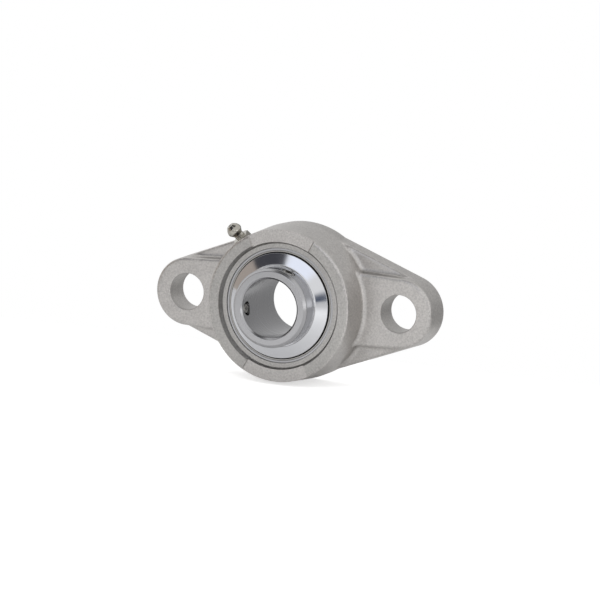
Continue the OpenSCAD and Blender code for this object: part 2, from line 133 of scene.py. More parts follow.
class CastingSizes(bpy.types.PropertyGroup):
    """Sizes of the cast housing"""

    ear_r: length("Ear radius", "Radius of the flange end round each bolt hole", 15.5)
    bolt_hole_r: length("Bolt hole radius", "Radius of each bolt hole", 8)
    flange_half: length("Flange half width", "Distance from the bore to the slanted sides", 33.3)
    floor_h: length("Floor height", "Height of the low floors beside the pads", 8)
    pad_h: length("Pad height", "Height of the ear pads", 13)
    pad_half: length("Pad half width", "Half width of the pads at the middle", 17.23)
    draft: angle("Draft", "Mould taper of the sides", 3)
    pad_edge: length("Pad edge", "Rounding along the pad edges", 0.9)
    floor_edge: length("Floor edge", "Rounding where the floors meet the flange sides", 0.8)
    fillet: length("Fillet", "Rounding where walls meet a floor", 1.6)
    ring_foot_h: length("Ring foot", "Height at which the ring wall starts to lean", 7)
    ring_taper: length("Ring taper", "How much the ring narrows to its face", 1.5)
    ring_edge: length("Ring edge", "Rounding of the ring's outer front edge", 0.7)
    field_angle: angle("Field angle", "Half angle of the two as-cast fields", 27.5)
    field_depth: length("Field depth", "Depth of those fields", 0.7)
    seat_lip: length("Seat lip", "How far the back mouth is narrower than the sphere", 0.65)
    seat_gap: length("Seat gap", "Gap round the outer ring's sphere", 0.05)
    mouth_land: length("Mouth land", "Width of the recessed land round the front mouth", 2.2)
    mouth_depth: length("Land depth", "Depth of that land below the ring's face", 2.1)
    mouth_bevel: length("Land wall lean", "How much the wall round the land leans outwards", 0.9)
    groove_w: length("Groove width", "Width of the grease groove in the seat", 3)
    grain: length("Mesh grain", "Spacing of the casting's mesh", 0.6)


class InsertSizes(bpy.types.PropertyGroup):
    """Sizes of the ball insert"""

    bore_r: length("Bore radius", "Radius of the shaft bore", 12.5)
    bore_bevel: length("Bore bevel", "Bevel at both mouths of the bore", 0.8)
    inner_bevel: length("Inner ring bevel", "Bevel on the inner ring's front edge", 1.2)
    shoulder_r: length("Shoulder radius", "Inside radius of the outer ring beside its race", 22)
    rim_r: length("Rim radius", "Inside radius of the outer ring's seal steps", 23.52)
    seal_step: length("Seal step", "Width of those steps", 2.3)
    case_rim: length("Seal rim", "Width of the seal case's outer rim", 0.62)
    sheet_t: length("Case sheet", "Thickness of the seal case's sheet", 0.5)
    rubber_t: length("Rubber", "Thickness of the rubber seal disc", 0.9)
    flinger_t: length("Flinger sheet", "Thickness of the flinger's sheet", 0.7)
    flinger_hip: length("Flinger hip", "How far out of the inner ring the cone begins", 1.4)
    flinger_rise: length("Flinger rise", "How far the cone rises towards its hip", 1.4)
    sleeve_l: length("Flinger sleeve", "Length of the sleeve in front of the cone", 0.8)
    screw_r: length("Screw radius", "Outer radius of the set screws' thread", 3)
    screw_inset: length("Screw inset", "Distance from the ring's face to the screws", 5)
    screw_angle: angle("Screw angle", "Angle of the first set screw round the bore", 68)
    screw_apart: angle("Screws apart", "Angle between the two set screws", 120)
    screw_key: length("Screw key", "Hexagon socket across its flats", 3)
    thread_pitch: length("Thread pitch", "Distance between the turns of a thread", 1)


class NippleSizes(bpy.types.PropertyGroup):
    """Sizes of the grease nipple"""

    around: angle("Angle", "Angle of the nipple round the ring", 130)
    tilt: angle("Tilt", "Forward tilt of the nipple", 27)
    seat_r: length("Seat radius", "Distance of the nipple's seat from the bore", 32.59)
    seat_h: length("Seat height", "Height of the seat over the mounting face", 16.5)
    thread_r: length("Thread radius", "Radius of the nipple's thread", 3)
    thread_l: length("Thread length", "Length of the nipple's thread", 5.95)
    hexagon: length("Hexagon", "Hexagon across its flats", 7)
    hexagon_h: length("Hexagon height", "Height of the hexagon", 3)
    head_r: length("Head radius", "Radius of the head", 3.25)
    whole: length("Length", "Length of the nipple outside the housing", 9.6)
    bore_r: length("Grease bore", "Radius of the bore under the check ball", 1.15)
    tip_r: length("Tip hole", "Radius of the hole in the tip", 0.72)


class BearingColours(bpy.types.PropertyGroup):
    """Colours of the finishes"""

    cast: colour("Blasted casting", "Blasted stainless casting", "#D0CDCA")
    turned: colour("Turned casting", "Turned places of the casting", "#BDBBB8")
    ground: colour("Ground steel", "Ground bearing steel", "#AEAEB0")
    polished: colour("Polished steel", "Polished pressed steel", "#D6D7DA")
    sheet: colour("Sheet steel", "Rolled sheet", "#B4B2AE")
    rubber: colour("Rubber", "Moulded nitrile rubber", "#161617")
    nipple: colour("Turned steel", "Bright turned steel", "#ACA9A1")
    screw: colour("Screw steel", "Plain stainless screw", "#A7A5A1")
    floor: colour("Floor", "Studio floor", "#E8E8E8")


def sizes(group):
    """The scene's values of a group of sizes: lengths in millimetres, angles in degrees."""
    found = getattr(bpy.context.scene, group)
    values = {}
    for name, prop in found.bl_rna.properties.items():
        if prop.type == "FLOAT":
            value = getattr(found, name)
            values[name] = math.degrees(value) if prop.subtype == "ANGLE" else value / MM
    return SimpleNamespace(**values)


# Places: every shape is drawn facing the viewer in millimetres, with its z along the bore


def stand(points):
    """Turns drawn points upright into the frame, in metres."""
    points = np.asarray(points, float).reshape(-1, 3)
    return np.stack([points[:, 0], -points[:, 2], points[:, 1]], axis=1) * MM


def turned_about_bore(points, degrees):
    """Points turned about the bore's axis."""
    turn = np.array(Matrix.Rotation(math.radians(degrees), 3, "Z"))
    return np.asarray(points, float) @ turn.T


def at_race(points, side):
    """Points of a front piece at the ball centres, or turned over for the back."""
    points = np.array(points, float)
    if side < 0:
        points[:, 1:] *= -1
    points[:, 2] += RACE_HEIGHT
    return points


def along_axis(points, around, tilt, out, height):
    """Points with their z laid outwards from the bore, turned round it and tilted forwards."""
    place = (Matrix.Rotation(math.radians(around), 4, "Z") @ Matrix.Translation((out, 0, height))
             @ Matrix.Rotation(math.radians(90 - tilt), 4, "Y"))
    matrix = np.array(place)
    return np.asarray(points, float) @ matrix[:3, :3].T + matrix[:3, 3]


def at_nipple(points, n):
    """Points with their z along the grease nipple, from its seat outwards."""
    return along_axis(points, n.around, n.tilt, n.seat_r, n.seat_h)


def at_screw(points, around, i):
    """Points with their z laid outwards along the axis of a set screw."""
    return along_axis(points, around, 0, 0, INNER_FRONT - i.screw_inset)


def screw_angles(i):
    """Angles of the two set screws round the bore."""
    return i.screw_angle, i.screw_angle + i.screw_apart


# Meshes


def make_object(name, points, faces):
    """An object in the frame from drawn points and faces."""
    mesh = bpy.data.meshes.new(name)
    mesh.from_pydata(stand(points).tolist(), [], faces)
    made = bpy.data.objects.new(name, mesh)
    bpy.context.scene.collection.objects.link(made)
    return made


def merge_doubles(made, distance=0.0005):
    """Merges points that lie together, so that seams and poles are closed."""
    work = bmesh.new()
    work.from_mesh(made.data)
    bmesh.ops.remove_doubles(work, verts=work.verts, dist=distance * MM)
    bmesh.ops.dissolve_degenerate(work, edges=work.edges, dist=distance * MM)
    work.to_mesh(made.data)
    work.free()


def arc(x, z, r, start, end, steps=8):
    """Points on an arc about (x, z) between two angles in degrees."""
    turns = np.radians(np.linspace(start, end, steps + 1))
    return [(x + r * math.cos(t), z + r * math.sin(t)) for t in turns]


def rounded(outline, steps=4):
    """An outline whose corners (r, z, radius) are replaced by arcs; radius 0 stays sharp."""
    result = []
    count = len(outline)
    for i, entry in enumerate(outline):
        here = Vector(entry[:2])
        radius = entry[2] if len(entry) > 2 else 0
        before = Vector(outline[i - 1][:2]) - here
        after = Vector(outline[(i + 1) % count][:2]) - here
        half = before.angle(after) / 2 if min(before.length, after.length) > 1e-6 else math.pi
        # A corner that is nearly straight has nothing to round
        if radius <= 0 or half > math.radians(88):
            result.append(tuple(here))
            continue
        # An arc takes less than half of each line, so that two arcs never meet
        longest = 0.49 * min(before.length, after.length)
        reach = min(radius / math.tan(half), longest)
        start = here + before.normalized() * reach
        end = here + after.normalized() * reach
        centre = here + (before.normalized() + after.normalized()).normalized() * reach / math.cos(half)
        for k in range(steps + 1):
            chord = start.lerp(end, k / steps) - centre
            result.append(tuple(centre + chord.normalized() * (start - centre).length))
    return result


def lathe(profile, segments=160, start=0.0, sweep=360.0):
    """Points and faces of a closed profile (r, z), drawn anticlockwise and turned round z."""
    whole = sweep >= 360
    stops = segments if whole else segments + 1
    turns = np.radians(start + np.arange(stops) * sweep / segments)
    r, z = np.array([p[0] for p in profile]), np.array([p[1] for p in profile])
    n = len(profile)
    points = np.stack([np.outer(np.cos(turns), r), np.outer(np.sin(turns), r),
                       np.tile(z, (stops, 1))], axis=2).reshape(-1, 3)
    faces = []
    for i in range(segments):
        a, b = i * n, (i + 1) % stops * n
        faces += [(a + j, b + j, b + (j + 1) % n, a + (j + 1) % n) for j in range(n)]
    if not whole:
        faces.append(tuple(range(n)))
        faces.append(tuple(reversed(range(segments * n, (segments + 1) * n))))
    return points, faces


def prism(outline, low, high):
    """Points and faces of an outline (x, y), drawn anticlockwise and stretched from low to high."""
    n = len(outline)
    points = [(x, y, low) for x, y in outline] + [(x, y, high) for x, y in outline]
    faces = [(j, (j + 1) % n, n + (j + 1) % n, n + j) for j in range(n)]
    faces += [tuple(reversed(range(n))), tuple(range(n, 2 * n))]
    return np.array(points, float), faces


def held(profile, margin=0.04):
    """A profile with a point near both ends of each long line, so that the line shades straight."""
    result = []
    for i, point in enumerate(profile):
        here, after = Vector(point), Vector(profile[(i + 1) % len(profile)])
        span = (after - here).length
        result.append(tuple(here))
        if span > 6 * margin:
            result += [tuple(here.lerp(after, margin / span)), tuple(here.lerp(after, 1 - margin / span))]
    return result


def turned_solid(name, profile, segments, place=None):
    """A plain turned solid, such as a tool: its profile round the axis, put in place."""
    points, faces = lathe(profile, segments)
    return make_object(name, place(points) if place else points, faces)


def turned_piece(name, profile, segments, place=None):
    """A turned piece, with its seam and poles closed."""
    made = turned_solid(name, held(profile), segments, place)
    merge_doubles(made)
    return made


def rod(r, low, high):
    """The profile of a plain rod."""
    return [(0, low), (r, low), (r, high), (0, high)]


def cut(made, cutters, operation="DIFFERENCE"):
    """Cuts a piece with solids, or joins them to it, and removes the solids."""
    for tool in cutters:
        modifier = made.modifiers.new(tool.name, "BOOLEAN")
        modifier.operation = operation
        modifier.solver = "MANIFOLD"
        modifier.object = tool
    settle(made)
    for tool in cutters:
        bpy.data.objects.remove(tool)


def settle(made):
    """Turns a piece with modifiers into its plain mesh."""
    graph = bpy.context.evaluated_depsgraph_get()
    plain = bpy.data.meshes.new_from_object(made.evaluated_get(graph))
    made.modifiers.clear()
    made.data = plain
    if len(plain.polygons) == 0:
        raise RuntimeError(f"{made.name} came out empty")


def smooth(made, sharp_over=32):
    """Shades a piece smooth, with its edges sharp over an angle in degrees."""
    made.data.shade_smooth()
    made.data.set_sharp_from_angle(angle=math.radians(sharp_over))


def seat(made, body, nodes, slot, *materials):
    """Gives a finished piece its materials and its place in the frame."""
    made.data.materials.clear()
    for material in materials:
        made.data.materials.append(material)
    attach(made, body)
    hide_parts(*nodes)


# The casting: one solid given by its distance function, as rounded and filleted as a mould makes it


def meet(a, b, radius):
    """Distance to what lies in both solids, with the edge between them rounded."""
    return (np.minimum(np.maximum(a, b), -radius)
            + np.hypot(np.maximum(a + radius, 0), np.maximum(b + radius, 0)))


def join(a, b, radius):
    """Distance to two solids together, with a fillet in the corner between them."""
    return (np.maximum(np.minimum(a, b), radius)
            - np.hypot(np.maximum(radius - a, 0), np.maximum(radius - b, 0)))


def outline_distance(x, y, bolt_x, middle_r, end_r):
    """Distance to the outline round a middle circle and both end circles."""
    x, y = np.abs(x), np.abs(y)
    lean = (middle_r - end_r) / bolt_x
    run = math.sqrt(1 - lean * lean)
    along = run * x - lean * y
    sides = run * y + lean * x - middle_r
    return np.where(along < 0, np.hypot(x, y) - middle_r,
                    np.where(along > run * bolt_x, np.hypot(x - bolt_x, y) - end_r, sides))


def casting_distance(x, y, z, s):
    """Distance to the surface of the raw casting, below zero inside it."""
    bolt_x = FLANGE_REACH - s.ear_r
    slope, shrink = math.tan(math.radians(s.draft)), math.cos(math.radians(s.draft))
    lean = s.ring_taper / (RING_HEIGHT - s.ring_foot_h)
    # A fillet takes at most this share of the floor that it stands on
    share = 0.8
    out = np.hypot(x, y)
    flange = outline_distance(x, y, bolt_x, s.flange_half, s.ear_r)
    pad = outline_distance(x, y, bolt_x, s.pad_half, s.ear_r)
    plate = meet((flange + z * slope) * shrink, z - s.floor_h, s.floor_edge)
    raised = meet((pad + z * slope) * shrink, z - s.pad_h, s.pad_edge)
    both = join(plate, raised, np.clip((pad - flange) * share, 0, s.fillet))
    leaning = (out - (RING_FOOT_R - (z - s.ring_foot_h) * lean)) * math.cos(math.atan(lean))
    ring = meet(np.maximum(out - RING_FOOT_R, leaning), z - RING_HEIGHT, s.ring_edge)
    return join(both, ring, np.clip((out - RING_FOOT_R - flange) * share, 0, s.fillet))


def surface_of(distance, low, high, step):
    """Points and faces of the surface where a distance function is zero. Each cell of the grid that
    the surface crosses has one point, at the mean of the crossings on its edges, and each crossed
    edge has one face, between the points of the four cells round it."""
    axes = [np.arange(low[k], high[k] + step, step) for k in range(3)]
    grid = np.meshgrid(*axes, indexing="ij")
    value = distance(*grid)
    inside = value < 0
    shape = tuple(n - 1 for n in value.shape)
    total, count = np.zeros(shape + (3,)), np.zeros(shape)
    for axis in range(3):
        first, second = [slice(None)] * 3, [slice(None)] * 3
        first[axis], second[axis] = slice(0, -1), slice(1, None)
        a, b = value[tuple(first)], value[tuple(second)]
        crossed = (a < 0) != (b < 0)
        part = np.where(crossed, a / np.where(crossed, a - b, 1), 0)
        others = [k for k in range(3) if k != axis]
        for i in (0, 1):
            for j in (0, 1):
                pick = [slice(None)] * 3
                pick[others[0]] = slice(i, i + shape[others[0]])
                pick[others[1]] = slice(j, j + shape[others[1]])
                mark, share = crossed[tuple(pick)], part[tuple(pick)]
                count += mark
                total[..., axis] += np.where(mark, share, 0)
                total[..., others[0]] += mark * i
                total[..., others[1]] += mark * j
    used = count > 0
    index = np.full(shape, -1)
    index[used] = np.arange(used.sum())
    cells = np.argwhere(used)
    points = (cells + total[used] / count[used][:, None]) * step + np.array(low)
    faces = []
    for axis in range(3):
        u, v = (axis + 1) % 3, (axis + 2) % 3
        first, second = [slice(1, -1)] * 3, [slice(1, -1)] * 3
        first[axis], second[axis] = slice(0, -1), slice(1, None)
        a, b = inside[tuple(first)], inside[tuple(second)]
        where = np.argwhere(a != b)
        where[:, u] += 1
        where[:, v] += 1
        leaving = a[a != b]
        step_u, step_v = np.eye(3, dtype=int)[u], np.eye(3, dtype=int)[v]
        ring = [where - step_u - step_v, where - step_v, where, where - step_u]
        quads = np.stack([index[tuple(cell.T)] for cell in ring], axis=1)
        quads[~leaving] = quads[~leaving][:, ::-1]
        faces.append(quads)
    return points, np.concatenate(faces)


def pull_to_surface(points, distance, rounds=4, nudge=0.02, least_slope=0.25):
    """Moves points along the distance's slope until they lie on the surface. In a fillet the slope
    falls below one, and its square is never taken below the least."""
    for _ in range(rounds):
        x, y, z = points.T
        value = distance(x, y, z)
        slope = np.stack([distance(x + nudge, y, z) - distance(x - nudge, y, z),
                          distance(x, y + nudge, z) - distance(x, y - nudge, z),
                          distance(x, y, z + nudge) - distance(x, y, z - nudge)], axis=1) / (2 * nudge)
        points = points - (value / np.maximum((slope ** 2).sum(axis=1), least_slope))[:, None] * slope
    return points


def bolt_hole_tool(side, s):
    """The drill of one bolt hole, which breaks the edges of both its mouths."""
    r, rim = s.bolt_hole_r, 0.35
    mouth = r + rim
    profile = [(0, -PAST), (mouth, -PAST), (mouth, 0), (r, rim),
               *[(mouth - p[0], p[1]) for p in arc(0, s.pad_h - rim, rim, 0, 90, 5)],
               (mouth, s.pad_h + PAST), (0, s.pad_h + PAST)]
    shift = (side * (FLANGE_REACH - s.ear_r), 0, 0)
    return turned_solid("bolt_hole_tool", profile, 96, lambda points: points + shift)


def front_land(s):
    """Height of the land round the front mouth, with its inner and outer radius."""
    land = RING_HEIGHT - s.mouth_depth
    inner = math.sqrt((SPHERE_R + s.seat_gap) ** 2 - (land - RACE_HEIGHT) ** 2)
    return land, inner, inner + s.mouth_land


def seat_tool(s):
    """The boring tool of the spherical seat, its land, its back mouth and its grease groove."""
    chamfer, edge, groove_depth = 0.4, 0.2, 0.7
    seat_r = SPHERE_R + s.seat_gap
    mouth_r = SPHERE_R - s.seat_lip
    land, land_inner, land_outer = front_land(s)
    top = land_outer + s.mouth_bevel
    slope = s.mouth_bevel / s.mouth_depth
    groove_r = seat_r + groove_depth
    mid = RACE_HEIGHT - FEED_OFFSET
    low, high = mid - s.groove_w / 2, mid + s.groove_w / 2
    dip = [math.degrees(math.asin((z - RACE_HEIGHT) / seat_r)) for z in (low, high)]
    end = math.degrees(math.acos(mouth_r / seat_r))
    rise = math.degrees(math.acos(land_inner / seat_r))
    # The last points break the edges of the seat's mouth, the land and the ring's face
    profile = [(0, -PAST), (mouth_r + chamfer, -PAST), (mouth_r + chamfer, 0), (mouth_r, chamfer),
               *arc(0, RACE_HEIGHT, seat_r, -end, dip[0], 2), (groove_r, low), (groove_r, high),
               *arc(0, RACE_HEIGHT, seat_r, dip[1], rise - 0.3, 16), (land_inner + 0.15, land),
               (land_outer - edge, land), (land_outer, land + edge),
               (top - edge * slope, RING_HEIGHT - edge), (top + 0.25, RING_HEIGHT + 0.1),
               (top + 0.25, RING_HEIGHT + PAST), (0, RING_HEIGHT + PAST)]
    return turned_solid("seat_tool", profile, 256)


def field_tools(s):
    """The tools of the two as-cast fields, each over its own stretch of the ring face.
    They widen upwards, so that the fields end in leaning steps."""
    past, widening = 2, 1.12
    low, high = RING_HEIGHT - s.field_depth, RING_HEIGHT + past
    inside, outside = front_land(s)[1], RING_FOOT_R + past
    field = [(inside, low), (outside, low), (outside, high), (inside, high)]
    tools = []
    for middle in (90, 270):
        points, faces = lathe(field, 48, -s.field_angle, 2 * s.field_angle)
        around = np.arctan2(points[:, 1], points[:, 0]) * np.where(points[:, 2] > low, widening, 1)
        out = np.hypot(points[:, 0], points[:, 1])
        points = np.stack([out * np.cos(around), out * np.sin(around), points[:, 2]], axis=1)
        tools.append(make_object("field_tool", turned_about_bore(points, middle), faces))
    return tools


def back_tools(s):
    """The face mill of the back, the loading slots and the lock pin's slot."""
    span, slot_gap = 2 * FLANGE_REACH, 0.25
    flat = prism([(-span, -span), (span, -span), (span, span), (-span, span)], -2 * PAST, 0)
    slot_half, slot_r = FACE_REACH + slot_gap, SPHERE_R + slot_gap
    reach = math.degrees(math.asin(slot_half / slot_r))
    both_ends = arc(0, 0, slot_r, -reach, reach, 12) + arc(0, 0, slot_r, 180 - reach, 180 + reach, 12)
    loading = prism(both_ends, -PAST, RACE_HEIGHT)
    pin_end, pin_low, pin_high = RACE_HEIGHT + 0.96, SPHERE_R - 5, SPHERE_R + 1.7
    outline = [(PIN_HOLE_R, -PAST), *arc(0, pin_end, PIN_HOLE_R, 0, 180, 16), (-PIN_HOLE_R, -PAST)]
    points, faces = prism(outline, pin_low, pin_high)
    pin = np.stack([-points[:, 0], points[:, 2], points[:, 1]], axis=1)
    return [make_object("back_tool", *flat), make_object("loading_tool", *loading),
            make_object("pin_slot_tool", pin, faces)]


def nipple_seat_tools(n):
    """The spot face of the nipple and its threaded hole."""
    face_r = n.hexagon / 2 / HEXAGON_SHARE + 0.5
    drills = (("spot_face_tool", rod(face_r, 0, n.whole)),
              ("nipple_hole_tool", rod(n.thread_r + THREAD_GAP, -n.thread_l - 0.5, 1)))
    return [turned_solid(name, profile, 64, lambda points: at_nipple(points, n))
            for name, profile in drills]


# Materials


def add(tree, kind, links=None, **settings):
    """Adds a node: settings go on the node, links are values or sockets for its inputs by name."""
    made = tree.nodes.new(kind)
    for name, value in settings.items():
        setattr(made, name, value)
    for name, value in (links or {}).items():
        if isinstance(value, bpy.types.NodeSocket):
            tree.links.new(value, made.inputs[name])
        else:
            made.inputs[name].default_value = value
    return made


def new_material(name):
    """An empty node material and its tree."""
    made = bpy.data.materials.new(name)
    made.use_nodes = True
    made.node_tree.nodes.clear()
    return made, made.node_tree


def per_mm(size):
    """The scale of a pattern on Object coordinates whose grains are this many millimetres."""
    return 1 / (size * MM)


def rgba(values):
    """A colour with full alpha."""
    return (*values, 1.0)


def bore_radius(tree, coords):
    """Distance of a point from the bore's axis, which is the frame's Y."""
    flat = add(tree, "ShaderNodeVectorMath", {0: coords, 1: (1, 0, 1)}, operation="MULTIPLY")
    far = add(tree, "ShaderNodeVectorMath", {0: flat.outputs["Vector"]}, operation="LENGTH")
    return far.outputs["Value"]


def line_marks(tree, distance, spacing, pattern):
    """Marks in lines square to a distance, about this many millimetres apart."""
    lines = add(tree, "ShaderNodeMath", {0: distance, 1: per_mm(spacing)}, operation="MULTIPLY")
    marks = add(tree, "ShaderNodeTexNoise", {"W": lines.outputs["Value"], "Scale": 1.0, **pattern},
                noise_dimensions="1D")
    return marks.outputs["Fac"]


def finish_material(tree, shade, marks, roughness, bump, height=None, metallic=1.0):
    """Ends a material. Its marks give the roughness, from one value to another, and the bump,
    given as its strength and its depth in millimetres, unless a height of its own does."""
    rough = add(tree, "ShaderNodeMapRange", {
        "Value": marks, "From Min": 0.3, "From Max": 0.7, "To Min": roughness[0], "To Max": roughness[1]})
    relief = add(tree, "ShaderNodeBump", {
        "Height": marks if height is None else height, "Strength": bump[0], "Distance": bump[1] * MM})
    surface = add(tree, "ShaderNodeBsdfPrincipled", {
        "Base Color": shade, "Metallic": metallic, "Roughness": rough.outputs["Result"],
        "Normal": relief.outputs["Normal"]})
    add(tree, "ShaderNodeOutputMaterial", {"Surface": surface.outputs["BSDF"]})


def blasted_casting(name, shade, roughness, strength, turned=False):
    """Stainless investment casting, bead blasted: matt warm grey with a fine even grain. Where it
    is turned it is a little darker and smoother, with fine rings round the bore over the grain."""
    made, tree = new_material(name)
    coords = add(tree, "ShaderNodeTexCoord").outputs["Object"]
    cloud = add(tree, "ShaderNodeTexNoise", {"Vector": coords, "Scale": per_mm(9), "Detail": 3.0})
    # Blast grain is about 0.2 mm; it is drawn at 0.8 mm so that it shows in a small picture
    grain = add(tree, "ShaderNodeTexNoise", {
        "Vector": coords, "Scale": per_mm(0.8), "Detail": 3.0, "Roughness": 0.65}).outputs["Fac"]
    mottle = add(tree, "ShaderNodeMath", {0: cloud.outputs["Fac"], 1: 0.2, 2: grain},
                 operation="MULTIPLY_ADD")
    spread = add(tree, "ShaderNodeMapRange", {
        "Value": mottle.outputs["Value"], "From Min": 0.42, "From Max": 0.78, "To Min": 0.0, "To Max": 1.0})
    dark = rgba(Vector(shade) * 0.7)
    tone = add(tree, "ShaderNodeMix", {"Factor": spread.outputs["Result"], "A": dark, "B": rgba(shade)},
               data_type="RGBA")
    height = None
    if turned:
        # Turning rings are about 0.1 mm apart, and are drawn at 0.45 mm so that they show
        rings = line_marks(tree, bore_radius(tree, coords), 0.45, {"Detail": 2.0})
        height = add(tree, "ShaderNodeMath", {0: rings, 1: grain}).outputs["Value"]
    finish_material(tree, tone.outputs["Result"], grain, roughness, (strength, 0.05), height)
    return made


def ground_steel(name, shade, roughness, line=0.35, strength=0.25):
    """Bearing steel ground on its faces and round its outside: satin, with fine grinding lines
    that run round the bore, so that lights stretch across them."""
    made, tree = new_material(name)
    coords = add(tree, "ShaderNodeTexCoord").outputs["Object"]
    parts = add(tree, "ShaderNodeSeparateXYZ", {"Vector": coords})
    depth = add(tree, "ShaderNodeMath", {0: bore_radius(tree, coords), 1: parts.outputs["Y"]})
    # Grinding lines are a few hundredths of a millimetre apart, and drawn coarser so that they show
    marks = line_marks(tree, depth.outputs["Value"], line, {"Detail": 4.0, "Roughness": 0.7})
    finish_material(tree, rgba(shade), marks, (roughness * 0.85, roughness * 1.15), (strength, 0.02))
    return made


def polished_steel(name, shade):
    """Stainless steel, pressed or lapped and polished: a near mirror, with the faintest waviness."""
    made, tree = new_material(name)
    coords = add(tree, "ShaderNodeTexCoord").outputs["Object"]
    wave = add(tree, "ShaderNodeTexNoise", {"Vector": coords, "Scale": per_mm(5), "Detail": 2.0})
    finish_material(tree, rgba(shade), wave.outputs["Fac"], (0.08, 0.13), (0.1, 0.1))
    return made


def nitrile_rubber(shade):
    """Nitrile rubber, moulded: near black and matt, with a soft even skin."""
    made, tree = new_material("moulded_nitrile_rubber")
    coords = add(tree, "ShaderNodeTexCoord").outputs["Object"]
    skin = add(tree, "ShaderNodeTexNoise", {"Vector": coords, "Scale": per_mm(0.6), "Detail": 2.0})
    finish_material(tree, rgba(shade), skin.outputs["Fac"], (0.5, 0.65), (0.2, 0.05), metallic=0.0)
    return made


def turned_steel(name, shade, roughness, around=0.0, tilt=0.0):
    """Free-cutting steel, turned on a lathe: bright, with fine rings square to its own axis."""
    made, tree = new_material(name)
    coords = add(tree, "ShaderNodeTexCoord").outputs["Object"]
    a, t = math.radians(around), math.radians(tilt)
    axis = (math.cos(a) * math.cos(t), -math.sin(t), math.sin(a) * math.cos(t))
    along = add(tree, "ShaderNodeVectorMath", {0: coords, 1: axis}, operation="DOT_PRODUCT")
    # Feed marks are under 0.1 mm apart, and are drawn at 0.25 mm so that they show
    marks = line_marks(tree, along.outputs["Value"], 0.25, {"Detail": 2.0})
    finish_material(tree, rgba(shade), marks, (roughness * 0.8, roughness * 1.2), (0.2, 0.02))
    return made


# Geometry Nodes


def tree_with(name, inputs):
    """A geometry tree with its named inputs, given as (socket type, name, default)."""
    tree = bpy.data.node_groups.new(name, "GeometryNodeTree")
    tree.interface.new_socket("Geometry", in_out="INPUT", socket_type="NodeSocketGeometry")
    for kind, label, default in inputs:
        made = tree.interface.new_socket(label, in_out="INPUT", socket_type=kind)
        if default is not None:
            made.default_value = default
    tree.interface.new_socket("Geometry", in_out="OUTPUT", socket_type="NodeSocketGeometry")
    return tree, add(tree, "NodeGroupInput").outputs


def finish_tree(tree, geometry, material):
    """Ends a geometry tree: real meshes with their material."""
    real = add(tree, "GeometryNodeRealizeInstances", {"Geometry": geometry})
    dressed = add(tree, "GeometryNodeSetMaterial", {"Geometry": real.outputs[0], "Material": material})
    add(tree, "NodeGroupOutput", {"Geometry": dressed.outputs[0]})


def grown(name, tree, values):
    """The plain mesh that a geometry tree makes from its named values."""
    made = bpy.data.objects.new(name, bpy.data.meshes.new(name))
    bpy.context.scene.collection.objects.link(made)
    modifier = made.modifiers.new(name, "NODES")
    modifier.node_group = tree
    named = {s.name: s.identifier for s in tree.interface.items_tree if s.in_out == "INPUT"}
    for label, value in values.items():
        modifier[named[label]] = value
    settle(made)
    return made


def thread_tree():
    """A screw thread: a ridge with pointed section that climbs round z."""
    tree, given = tree_with("Thread ridge", [
        ("NodeSocketFloat", "Radius", 2.7 * MM), ("NodeSocketFloat", "Depth", 0.3 * MM),
        ("NodeSocketFloat", "Length", 3 * MM), ("NodeSocketFloat", "Turns", 3.0),
        ("NodeSocketMaterial", "Material", None)])
    climb = add(tree, "GeometryNodeCurveSpiral", {
        "Resolution": 40, "Rotations": given["Turns"], "Start Radius": given["Radius"],
        "End Radius": given["Radius"], "Height": given["Length"]})
    section = add(tree, "GeometryNodeCurvePrimitiveCircle", {"Resolution": 4, "Radius": given["Depth"]})
    ridge = add(tree, "GeometryNodeCurveToMesh", {
        "Curve": climb.outputs[0], "Profile Curve": section.outputs[0], "Fill Caps": True})
    finish_tree(tree, ridge.outputs[0], given["Material"])
    return tree


def rivet_tree():
    """Rivet heads on both sides of the cage, evenly round the bore between the balls."""
    tree, given = tree_with("Cage rivets", [
        ("NodeSocketInt", "Count", 9), ("NodeSocketFloat", "Circle", PITCH_R * MM),
        ("NodeSocketFloat", "Head", 0.8 * MM), ("NodeSocketFloat", "Grip", 1.2 * MM),
        ("NodeSocketMaterial", "Material", None)])
    places = add(tree, "GeometryNodeMeshCircle", {"Vertices": given["Count"], "Radius": given["Circle"]})
    half = add(tree, "ShaderNodeMath", {0: given["Grip"], 1: 0.5}, operation="MULTIPLY")
    shank = add(tree, "GeometryNodeMeshCylinder", {
        "Vertices": 20, "Radius": 0.5 * MM, "Depth": given["Grip"]})
    dome = add(tree, "GeometryNodeMeshUVSphere", {"Segments": 20, "Rings": 10, "Radius": given["Head"]})
    flat = add(tree, "GeometryNodeTransform", {"Geometry": dome.outputs[0], "Scale": (1, 1, 0.45)})
    lift = add(tree, "ShaderNodeCombineXYZ", {"Z": half.outputs[0]})
    drop = add(tree, "ShaderNodeVectorMath", {0: lift.outputs[0], 1: (1, 1, -1)}, operation="MULTIPLY")
    front = add(tree, "GeometryNodeTransform", {"Geometry": flat.outputs[0], "Translation": lift.outputs[0]})
    back = add(tree, "GeometryNodeTransform", {"Geometry": flat.outputs[0], "Translation": drop.outputs[0]})
    rivet = add(tree, "GeometryNodeJoinGeometry")
    for part in (shank, front, back):
        tree.links.new(part.outputs[0], rivet.inputs[0])
    placed = add(tree, "GeometryNodeInstanceOnPoints", {
        "Points": places.outputs[0], "Instance": rivet.outputs[0]})
    finish_tree(tree, placed.outputs[0], given["Material"])
    return tree


# Operators


class BearingOperator:
    """What the bearing's operators share"""

    bl_options = {"REGISTER", "UNDO"}


